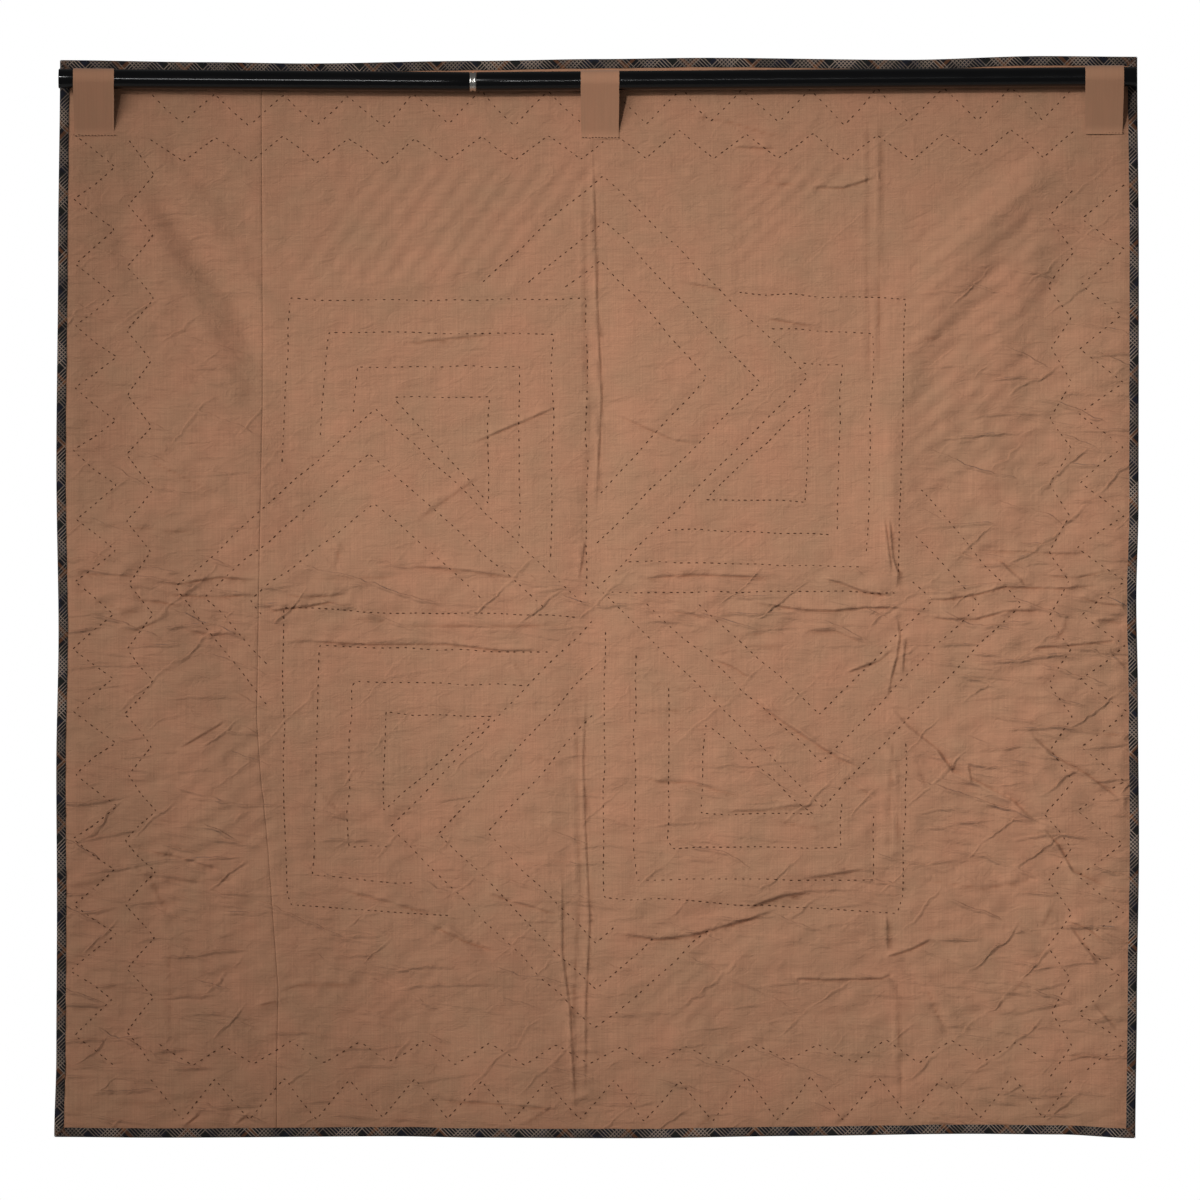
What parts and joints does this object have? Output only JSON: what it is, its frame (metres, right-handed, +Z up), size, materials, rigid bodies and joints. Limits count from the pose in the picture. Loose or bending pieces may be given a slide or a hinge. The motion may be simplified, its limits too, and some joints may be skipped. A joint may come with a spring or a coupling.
{
  "type": "patchwork quilt hung on a rod",
  "caption": "Square hand-quilted patchwork quilt hung back outwards by sewn cloth tabs on a jointed round rod, with a narrow folded plaid binding on every edge.",
  "frame": {"origin": "midway between the centres of the rod's two ends, where what holds the rod carries it", "axes": "+X along the rod to the viewer's right, +Z up, and the face that shows, the quilt's back, looks towards -Y"},
  "size_m": [1.4105, 0.0461, 1.407],
  "materials": {
    "brown_cotton": "plain-weave brown cotton, quilted by hand",
    "bias_plaid": "dark plaid cotton cut on the bias and folded over the edge",
    "black_enamel": "satin black enamel on steel tube",
    "bright_steel": "bright turned steel"
  },
  "bodies": {
    "root": {"quilt": "brown_cotton", "binding_top": "bias_plaid", "binding_bottom": "bias_plaid", "binding_left": "bias_plaid", "binding_right": "bias_plaid", "tab_left": "brown_cotton", "tab_centre": "brown_cotton", "tab_right": "brown_cotton", "rod_left": "black_enamel", "rod_right": "black_enamel", "rod_joint": "bright_steel"}
  },
  "joints": []
}
